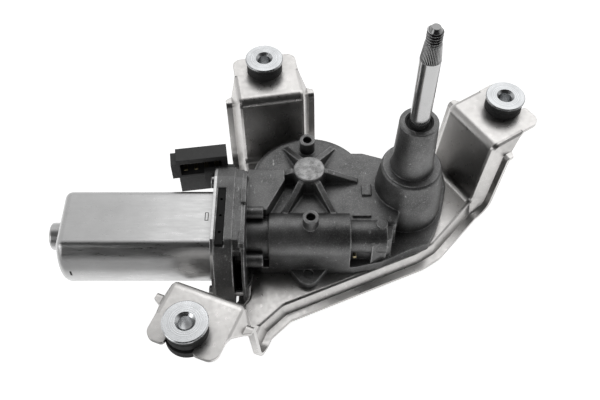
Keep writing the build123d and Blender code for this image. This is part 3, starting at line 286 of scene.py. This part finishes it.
def worn_edges(tree, rounded):
    """Where the rounded normal leaves the true one: the edges."""
    geometry = tree.nodes.new("ShaderNodeNewGeometry")
    along = vector_node(tree, "DOT_PRODUCT", rounded, geometry.outputs["Normal"])
    return spread(tree, along, WEAR_BAND)


def painted_corner_shade(tree, reach, darkest):
    """Painted shade in the colour, darkest where surfaces meet in a corner."""
    node = tree.nodes.new("ShaderNodeAmbientOcclusion")
    node.samples = CORNER_SHADE_SAMPLES
    node.inputs["Distance"].default_value = reach
    return spread(tree, node.outputs["AO"], CORNER_BAND, (darkest, 0.0))


# Cast aluminium. A pattern is given as its scale, detail and roughness. How a pattern shows is
# given as the stretch of it over which the effect grows, and the least and most of the effect.

CAST_PATCHES = (45.0, 6.0, 0.62)
CAST_PATCH_ENDS = (0.34, 0.66)
CAST_GRAIN = (1500.0, 4.0, 0.6)
CAST_GRAIN_SHOW = ((0.5, 0.75), (0.0, 0.3))
CAST_GRAIN_HEIGHT = (0.35, 0.75)
CAST_SCUFFS = (260.0, 5.0, 0.7)
CAST_SCUFF_SHOW = ((0.4, 0.6), (0.25, 1.0))
CAST_FLECKS = (420.0, 3.0, 0.7)
CAST_FLECK_STRETCH = (1.0, 0.4, 1.0)
CAST_FLECK_SHOW = ((0.65, 0.73), (0.0, 0.6))
# Painted shade in the casting's corners: its reach and strength, and its grey
CAST_CORNER_SHADE = (8.0 * MM, 0.65)
CAST_CORNER_SHADE_TONE = 0.02
CAST_METALLIC = 0.78
CAST_ROUGH = (0.36, 0.5)
CAST_ROUNDING = 1.2 * MM
CAST_RELIEF = (0.25, 0.08 * MM)
HUB_RUBBING = (330.0, 5.0, 0.7)
HUB_SHOW = ((0.35, 0.65), (0.1, 0.75))


def rubbed_hub(tree, place):
    """The rubbed top of the dome's hub, over the middle of the wheel."""
    x, y, _ = middle("worm_wheel")
    away = vector_node(tree, "DISTANCE", place, (x, y, HUB_TOP))
    rubbed = spread(tree, noise(tree, place, *HUB_RUBBING), *HUB_SHOW)
    return math_node(tree, "MULTIPLY", spread(tree, away, HUB_FADE, (1.0, 0.0)), rubbed)


def cast_metal(name, dark, light, worn):
    """Sand-grey aluminium casting with a fine grain, worn, lighter edges and painted shade in its
    corners.
    """
    material, tree, shader = start_material(name)
    place = place_vector(tree)
    patches = noise(tree, place, *CAST_PATCHES)
    tone = colours(tree, patches, zip(CAST_PATCH_ENDS, (dark, light)))
    grain = noise(tree, place, *CAST_GRAIN)
    tone = blend_colours(tree, spread(tree, grain, *CAST_GRAIN_SHOW), tone, worn)
    rounded = soft_edges(tree, CAST_ROUNDING)
    scuffs = spread(tree, noise(tree, place, *CAST_SCUFFS), *CAST_SCUFF_SHOW)
    broken = math_node(tree, "MULTIPLY", worn_edges(tree, rounded), scuffs)
    tone = blend_colours(tree, broken, tone, worn)
    flecks = noise(tree, place_vector(tree, CAST_FLECK_STRETCH), *CAST_FLECKS)
    tone = blend_colours(tree, spread(tree, flecks, *CAST_FLECK_SHOW), tone, worn)
    tone = blend_colours(tree, rubbed_hub(tree, place), tone, worn)
    # Painted shade: the casting darkened where its surfaces meet
    tone = blend_colours(tree, painted_corner_shade(tree, *CAST_CORNER_SHADE), tone, grey(CAST_CORNER_SHADE_TONE))
    tree.links.new(tone, shader.inputs["Base Color"])
    shader.inputs["Metallic"].default_value = CAST_METALLIC
    tree.links.new(spread(tree, patches, ROUGHNESS_BAND, CAST_ROUGH), shader.inputs["Roughness"])
    relief(tree, shader, spread(tree, grain, CAST_GRAIN_HEIGHT), rounded, *CAST_RELIEF)
    return material


# Sheet metal

SHEET_CLOUDS = (28.0, 5.0, 0.55)
SHEET_CLOUD_ENDS = (0.3, 0.7)
SHEET_GRAIN = (4.0, 0.6)
SHEET_GRAIN_SCALE = 420.0
SHEET_GRAIN_SHOW = ((0.45, 0.8), (0.0, 0.45))
# Painted shade in the sheet's corners: its reach and strength, and its grey
SHEET_CORNER_SHADE = (14.0 * MM, 0.3)
SHEET_CORNER_SHADE_TONE = 0.06
SHEET_ROUNDING = 0.4 * MM
SHEET_RELIEF = (0.12, 0.1 * MM)
STAMP_TONE = 0.03


def stamp(tree, place, centre, half, line):
    """The edge of a small box about a point, as a dark stamped line."""
    away = vector_node(tree, "ABSOLUTE", vector_node(tree, "SUBTRACT", place, centre))
    past = axes(tree, vector_node(tree, "SUBTRACT", away, half))
    reach = math_node(tree, "MAXIMUM", past["X"], past["Y"])
    reach = math_node(tree, "MAXIMUM", reach, past["Z"])
    inside = spread(tree, reach, (0.0, STAMP_SOFTNESS), (1.0, 0.0))
    outside = spread(tree, reach, (-line - STAMP_SOFTNESS, -line))
    return math_node(tree, "MULTIPLY", inside, outside)


def sheet_metal(
    name, dark, light, rough=(0.28, 0.42), scale=SHEET_GRAIN_SCALE, streaks=EVEN, stamps=()
):
    """Plated sheet steel with soft cloudy tone, faint streaks and painted shade in its corners."""
    material, tree, shader = start_material(name)
    place = place_vector(tree)
    clouds = noise(tree, place, *SHEET_CLOUDS)
    grain = noise(tree, place_vector(tree, streaks), scale, *SHEET_GRAIN)
    tone = colours(tree, clouds, zip(SHEET_CLOUD_ENDS, (dark, light)))
    tone = blend_colours(tree, spread(tree, grain, *SHEET_GRAIN_SHOW), tone, dark)
    # Painted shade: the sheet darkened where its surfaces meet
    tone = blend_colours(tree, painted_corner_shade(tree, *SHEET_CORNER_SHADE), tone, grey(SHEET_CORNER_SHADE_TONE))
    for centre, half, line in stamps:
        tone = blend_colours(tree, stamp(tree, place, centre, half, line), tone, grey(STAMP_TONE))
    tree.links.new(tone, shader.inputs["Base Color"])
    shader.inputs["Metallic"].default_value = 1.0
    tree.links.new(spread(tree, grain, ROUGHNESS_BAND, rough), shader.inputs["Roughness"])
    relief(tree, shader, grain, soft_edges(tree, SHEET_ROUNDING), *SHEET_RELIEF)
    return material


# Turned steel

TURNED_RINGS = 2600.0
TURNED_RING_DETAIL = 2.0
TURNED_RING_ENDS = (0.35, 0.65)
TURNED_CLOUDS = (160.0, 4.0)
TURNED_CLOUD_SHOW = ((0.5, 0.8), (0.0, 0.35))
TURNED_METALLIC = 0.95
TURNED_ROUNDING = 0.3 * MM
TURNED_RELIEF = (0.15, 0.06 * MM)
SPINDLE_ROUGH = (0.14, 0.24)
# Heights over which the knurl's and the tip's tones come up
KNURL_TONE_BAND = (KNURL_START - 0.2 * MM, KNURL_START + 0.4 * MM)
TIP_TONE_BAND = (THREAD_END - 0.1 * MM, THREAD_END + 0.2 * MM)
TIP_TONE = 0.22
# Pointiness from the bottom of a groove to its crest, and the greys along it, as painted shade near
# black in the grooves
RIDGE_BAND = (0.46, 0.54)
GROOVE_SHADE_TONES = ((0.3, grey(0.012)), (0.95, grey(0.46)))


def turned_metal(name, dark, light, centre=(0.0, 0.0), rings=TURNED_RINGS, rough=(0.18, 0.32)):
    """Turned steel with fine rings about an upright axis."""
    material, tree, shader = start_material(name)
    place = place_vector(tree)
    shifted = vector_node(tree, "SUBTRACT", place, (*centre, 0.0))
    reach = vector_node(tree, "LENGTH", vector_node(tree, "MULTIPLY", shifted, FLAT))
    ring = tree.nodes.new("ShaderNodeTexNoise")
    ring.noise_dimensions = "1D"
    ring.inputs["Scale"].default_value = rings
    ring.inputs["Detail"].default_value = TURNED_RING_DETAIL
    tree.links.new(reach, ring.inputs["W"])
    marks = ring.outputs["Fac"]
    clouds = noise(tree, place, *TURNED_CLOUDS)
    tone = colours(tree, marks, zip(TURNED_RING_ENDS, (dark, light)))
    tone = blend_colours(tree, spread(tree, clouds, *TURNED_CLOUD_SHOW), tone, dark)
    tree.links.new(tone, shader.inputs["Base Color"])
    shader.inputs["Metallic"].default_value = TURNED_METALLIC
    tree.links.new(spread(tree, clouds, ROUGHNESS_BAND, rough), shader.inputs["Roughness"])
    relief(tree, shader, marks, soft_edges(tree, TURNED_ROUNDING), *TURNED_RELIEF)
    return material


def spindle_steel():
    """Ground steel that turns darker at the knurl and the thread, from painted shade in the bottoms
    of their grooves.
    """
    material = turned_metal("spindle_steel", grey(0.42), grey(0.56), rough=SPINDLE_ROUGH)
    tree = material.node_tree
    shader = tree.nodes["Principled BSDF"]
    ground = shader.inputs["Base Color"].links[0].from_socket
    height = axes(tree, place_vector(tree))["Z"]
    geometry = tree.nodes.new("ShaderNodeNewGeometry")
    # Painted shade: groove bottoms of the knurl and thread darkened by pointiness
    raised = spread(tree, geometry.outputs["Pointiness"], RIDGE_BAND)
    rolled_shaded = colours(tree, raised, GROOVE_SHADE_TONES)
    rolled_shaded = blend_colours(tree, spread(tree, height, TIP_TONE_BAND), rolled_shaded, grey(TIP_TONE))
    tone = blend_colours(tree, spread(tree, height, KNURL_TONE_BAND), ground, rolled_shaded)
    tree.links.new(tone, shader.inputs["Base Color"])
    return material


# Moulded plastic and rubber

MOULDED_CLOUDS = (90.0, 4.0)
MOULDED_CLOUD_ENDS = (0.35, 0.7)
MOULDED_GRAIN = 900.0
MOULDED_ROUNDING = 0.4 * MM
MOULDED_RELIEF = (0.25, 0.06 * MM)
RUBBER_GRAIN = 1400.0


def moulded(name, dark, light, rough=(0.4, 0.55), grain_scale=MOULDED_GRAIN, shine=0.5):
    """Moulded plastic or rubber with a faint grain."""
    material, tree, shader = start_material(name)
    place = place_vector(tree)
    clouds = noise(tree, place, *MOULDED_CLOUDS)
    tone = colours(tree, clouds, zip(MOULDED_CLOUD_ENDS, (dark, light)))
    grain = noise(tree, place, grain_scale)
    tree.links.new(tone, shader.inputs["Base Color"])
    tree.links.new(spread(tree, grain, ROUGHNESS_BAND, rough), shader.inputs["Roughness"])
    shader.inputs["Specular IOR Level"].default_value = shine
    relief(tree, shader, grain, soft_edges(tree, MOULDED_ROUNDING), *MOULDED_RELIEF)
    return material


# What each piece is made of

PLATED_ROUGH = (0.26, 0.38)
CAN_GRAIN = 900.0
CAN_STREAKS = (0.15, 1.0, 1.0)
BRASS = ((0.34, 0.29, 0.17), (0.46, 0.4, 0.25))
COPPER = ((0.4, 0.14, 0.06), (0.55, 0.22, 0.1))
BRONZE = ((0.3, 0.16, 0.06), (0.45, 0.26, 0.11))
NYLON = ((0.62, 0.57, 0.44), (0.7, 0.65, 0.52))

materials = {
    "cast": cast_metal("cast_aluminium", grey(0.075), grey(0.19), grey(0.5)),
    "sheet": sheet_metal("galvanised_sheet", grey(0.5, 0.02), grey(0.66, 0.02), PLATED_ROUGH),
    "can": sheet_metal(
        "can_steel", grey(0.5), grey(0.64), PLATED_ROUGH, CAN_GRAIN, CAN_STREAKS, CAN_STAMPS
    ),
    "screw": sheet_metal("screw_steel", grey(0.3), grey(0.5), (0.25, 0.4)),
    "plain": sheet_metal("plain_steel", grey(0.3), grey(0.42), (0.3, 0.45)),
    "dark": sheet_metal("dark_steel", grey(0.12), grey(0.2), (0.3, 0.5)),
    "shaft": turned_metal("ground_steel", grey(0.5), grey(0.66), rough=(0.12, 0.22)),
    "bronze": moulded("bearing_bronze", *BRONZE),
    "brass": sheet_metal("brass", *BRASS),
    "copper": sheet_metal("copper", *COPPER),
    "plastic": moulded("black_plastic", grey(0.026), grey(0.04)),
    "brush": moulded("brush_plastic", grey(0.006), grey(0.01), (0.5, 0.65), shine=0.2),
    "rubber": moulded("rubber", grey(0.010), grey(0.018), (0.5, 0.7), RUBBER_GRAIN),
    "nylon": moulded("gear_nylon", *NYLON),
    "magnet": moulded("magnet", grey(0.03), grey(0.05)),
    "carbon": moulded("carbon", grey(0.02), grey(0.03)),
}

MADE_OF = {
    "sheet": ["bracket"],
    "cast": ["gear_housing"],
    "can": ["motor_can"],
    "screw": ["can_screws", "bracket_screws"],
    "plastic": ["connector_housing"],
    "brush": ["brush_holder"],
    "brass": ["connector_terminals", "side_plug"],
    "rubber": ["spindle_seal", "housing_gasket", "left_grommet", "rear_grommet", "right_grommet"],
    "bronze": ["lower_bush", "upper_bush", "rear_bearing", "front_bearing", "worm_end_bearing"],
    "copper": ["armature_windings", "commutator"],
    "nylon": ["worm_wheel"],
    "magnet": ["field_magnets"],
    "carbon": ["carbon_brushes"],
    "plain": ["bottom_cover", "crank_plate", "connecting_rod", "spindle_lever"],
    "dark": [
        "lamination_stack", "brush_springs", "thrust_screw", "wheel_washer",
        "wheel_ring", "crank_pin_ring", "spindle_ring",
    ],
    "shaft": ["spindle", "wheel_axle", "crank_pin", "lever_pin", "armature_shaft", "thrust_ball"],
}


def paint(piece, material):
    """Gives a piece one material."""
    piece.data.materials.clear()
    piece.data.materials.append(material)


# Each sleeve's own grey is painted light and shade on the one steel
for side, (dark, light) in SLEEVE_LIT_AND_SHADED_TONES.items():
    sleeve = f"{side}_sleeve"
    x, y, _ = middle(sleeve)
    materials[sleeve] = turned_metal(
        f"{sleeve}_steel", grey(dark, SLEEVE_TINT), grey(light, SLEEVE_TINT), (x, y), SLEEVE_RINGS
    )
    MADE_OF[sleeve] = [sleeve]

for kind, nodes in MADE_OF.items():
    for node in nodes:
        paint(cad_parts[node], materials[kind])


# Meshes about the spindle's axis

def round_point(reach, angle, height):
    """A point at a distance from the spindle's axis, an angle about it and a height."""
    return (reach * math.cos(angle), reach * math.sin(angle), height)


def add_mesh(name, points, faces):
    """A new piece with the given mesh."""
    mesh = bpy.data.meshes.new(name)
    mesh.from_pydata(points, [], faces)
    piece = bpy.data.objects.new(name, mesh)
    bpy.context.collection.objects.link(piece)
    return piece


def zigzag(turns):
    """1 at each whole turn, down to 0 half way to the next."""
    return abs(2.0 * (turns % 1.0) - 1.0)


def spindle_radius(height, angle):
    """Radius of the spindle at a height and an angle about its axis."""
    if height <= KNURL_START:
        return SPINDLE_RADIUS
    if height <= KNURL_END:
        share = (height - KNURL_START) / (KNURL_END - KNURL_START)
        crest = SPINDLE_RADIUS + (KNURL_TOP_RADIUS - SPINDLE_RADIUS) * share
        return crest - KNURL_DEPTH * zigzag(angle * KNURL_RIDGES / math.tau)
    if height <= THREAD_END:
        groove = zigzag(height / THREAD_PITCH - angle / math.tau)
        run_in = min(1.0, (height - KNURL_END) / THREAD_RUN_IN)
        return THREAD_RADIUS - THREAD_DEPTH * min(1.0, GROOVE_STEEPNESS * groove) * run_in
    share = (height - THREAD_END) / (SPINDLE_TIP - THREAD_END)
    root = THREAD_RADIUS - THREAD_DEPTH
    return root + (TIP_RADIUS - root) * share


def even_steps(low, high, count):
    """Heights from low to high, evenly spaced."""
    return [low + (high - low) * step / count for step in range(count + 1)]


def make_spindle():
    """The output spindle as one round mesh, row by row."""
    heights = [SHAFT_BOTTOM]
    heights += even_steps(0.0, KNURL_START, SHAFT_ROWS)
    heights += even_steps(KNURL_START + ROW_STEP, KNURL_END, KNURL_ROWS)
    heights += even_steps(KNURL_END + ROW_STEP, THREAD_END, THREAD_ROWS)
    heights += even_steps(THREAD_END + ROW_STEP, SPINDLE_TIP, TIP_ROWS)
    points = []
    faces = []
    for height in heights:
        for step in range(ROUND_STEPS):
            angle = math.tau * step / ROUND_STEPS
            points.append(round_point(spindle_radius(height, angle), angle, height))
    for row in range(len(heights) - 1):
        low = row * ROUND_STEPS
        high = low + ROUND_STEPS
        for step in range(ROUND_STEPS):
            after = (step + 1) % ROUND_STEPS
            faces.append((low + step, low + after, high + after, high + step))
    faces.append(tuple(reversed(range(ROUND_STEPS))))
    faces.append(tuple(range(len(points) - ROUND_STEPS, len(points))))
    piece = add_mesh("spindle_look", points, faces)
    piece.data.shade_smooth()
    piece.data.set_sharp_from_angle(angle=SHARP_EDGE)
    return piece


def make_rim():
    """The flat stepped rim on the shoulder of the spindle boss, with square edges."""
    corners = (
        (RIM_INNER, RIM_BOTTOM), (RIM_OUTER, RIM_BOTTOM), (RIM_OUTER, RIM_TOP), (RIM_INNER, RIM_TOP)
    )
    points = []
    faces = []
    for step in range(ROUND_STEPS):
        angle = math.tau * step / ROUND_STEPS
        points += [round_point(reach, angle, height) for reach, height in corners]
        here = len(corners) * step
        there = len(corners) * ((step + 1) % ROUND_STEPS)
        for corner in range(len(corners)):
            after = (corner + 1) % len(corners)
            faces.append((here + corner, there + corner, there + after, here + after))
    return add_mesh("boss_rim", points, faces)


spindle_look = make_spindle()
paint(spindle_look, spindle_steel())
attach(spindle_look, "output")
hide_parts("spindle")

boss_rim = make_rim()
paint(boss_rim, materials["cast"])
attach(boss_rim, "frame")


# Room, floor, lamps and camera

def background(tree, strength):
    """A white background of the given strength, a number or a node's output."""
    node = tree.nodes.new("ShaderNodeBackground")
    node.inputs["Color"].default_value = (*WHITE, 1.0)
    if isinstance(strength, float):
        node.inputs["Strength"].default_value = strength
    else:
        tree.links.new(strength, node.inputs["Strength"])
    return node.outputs["Background"]


def mix_shaders(tree, factor, first, second):
    """Two shaders mixed by a factor."""
    node = tree.nodes.new("ShaderNodeMixShader")
    tree.links.new(factor, node.inputs["Fac"])
    tree.links.new(first, node.inputs[1])
    tree.links.new(second, node.inputs[2])
    return node.outputs["Shader"]


def front_shade(tree):
    """Strength of the room as metal mirrors it: white, and dim in front."""
    source = tree.nodes.new("ShaderNodeTexCoord")
    facing = vector_node(tree, "DOT_PRODUCT", source.outputs["Generated"], FRONT)
    return spread(tree, facing, FRONT_BAND, (MIRROR_BRIGHT, FRONT_DIM))


def studio_world():
    """Even soft light, and a white room for the camera, for mirrors and for glass."""
    world = bpy.data.worlds.new("studio")
    bpy.context.scene.world = world
    world.use_nodes = True
    tree = world.node_tree
    tree.nodes.clear()
    ray = tree.nodes.new("ShaderNodeLightPath").outputs
    clear = math_node(tree, "MAXIMUM", ray["Is Camera Ray"], ray["Is Transmission Ray"])
    even = background(tree, ROOM_LIGHT)
    mirrored = background(tree, front_shade(tree))
    room = mix_shaders(tree, ray["Is Glossy Ray"], even, mirrored)
    room = mix_shaders(tree, clear, room, background(tree, 1.0))
    output = tree.nodes.new("ShaderNodeOutputWorld")
    tree.links.new(room, output.inputs["Surface"])


def add_lamp(name, place, size, power, in_mirrors):
    """A soft rectangular lamp that points at the object."""
    data = bpy.data.lights.new(name, "AREA")
    data.shape = "RECTANGLE"
    data.size, data.size_y = size
    data.energy = power
    lamp = bpy.data.objects.new(name, data)
    lamp.location = place
    away = Vector(place) - Vector(LAMP_TARGET)
    lamp.rotation_euler = away.to_track_quat("Z", "Y").to_euler()
    lamp.visible_glossy = in_mirrors
    bpy.context.collection.objects.link(lamp)


def make_floor():
    """A white floor just under the bracket's rim."""
    place = (*FLOOR_MIDDLE, cad_low[2] - FLOOR_GAP)
    bpy.ops.mesh.primitive_plane_add(size=FLOOR_SIZE, location=place)
    floor = bpy.context.object
    floor.name = "floor"
    material, tree, shader = start_material("floor_white")
    clouds = noise(tree, place_vector(tree), FLOOR_CLOUDS)
    tone = colours(tree, clouds, zip(FLOOR_CLOUD_ENDS, map(grey, FLOOR_TONES)))
    tree.links.new(tone, shader.inputs["Base Color"])
    shader.inputs["Roughness"].default_value = FLOOR_ROUGHNESS
    shader.inputs["Emission Color"].default_value = (*WHITE, 1.0)
    ray = tree.nodes.new("ShaderNodeLightPath").outputs
    spot = axes(tree, tree.nodes.new("ShaderNodeNewGeometry").outputs["Position"])
    beside = spread(tree, spot["X"], SIDE_BAND)
    close = spread(tree, spot["Y"], FRONT_FLOOR_BAND, (FRONT_FLOOR_LEAST, 1.0))
    bright = math_node(tree, "MAXIMUM", beside, close)
    mirrored = math_node(tree, "MULTIPLY", ray["Is Glossy Ray"], bright)
    seen = math_node(tree, "MAXIMUM", ray["Is Camera Ray"], mirrored)
    seen = math_node(tree, "MAXIMUM", seen, ray["Is Transmission Ray"])
    lift = spread(tree, seen, (0.0, 1.0), (0.0, FLOOR_LIFT))
    tree.links.new(lift, shader.inputs["Emission Strength"])
    paint(floor, material)


studio_world()
make_floor()
for lamp in LAMPS:
    add_lamp(*lamp)

camera_data = bpy.data.cameras.new("camera")
camera_data.lens = CAMERA_LENS
camera_data.sensor_width = CAMERA_SENSOR
camera_data.clip_start = CAMERA_NEAREST
camera = bpy.data.objects.new("camera", camera_data)
camera.location = CAMERA_PLACE
camera.rotation_euler = (CAMERA_TILT, 0.0, 0.0)
bpy.context.collection.objects.link(camera)
bpy.context.scene.camera = camera
bpy.context.scene.view_settings.view_transform = "Standard"
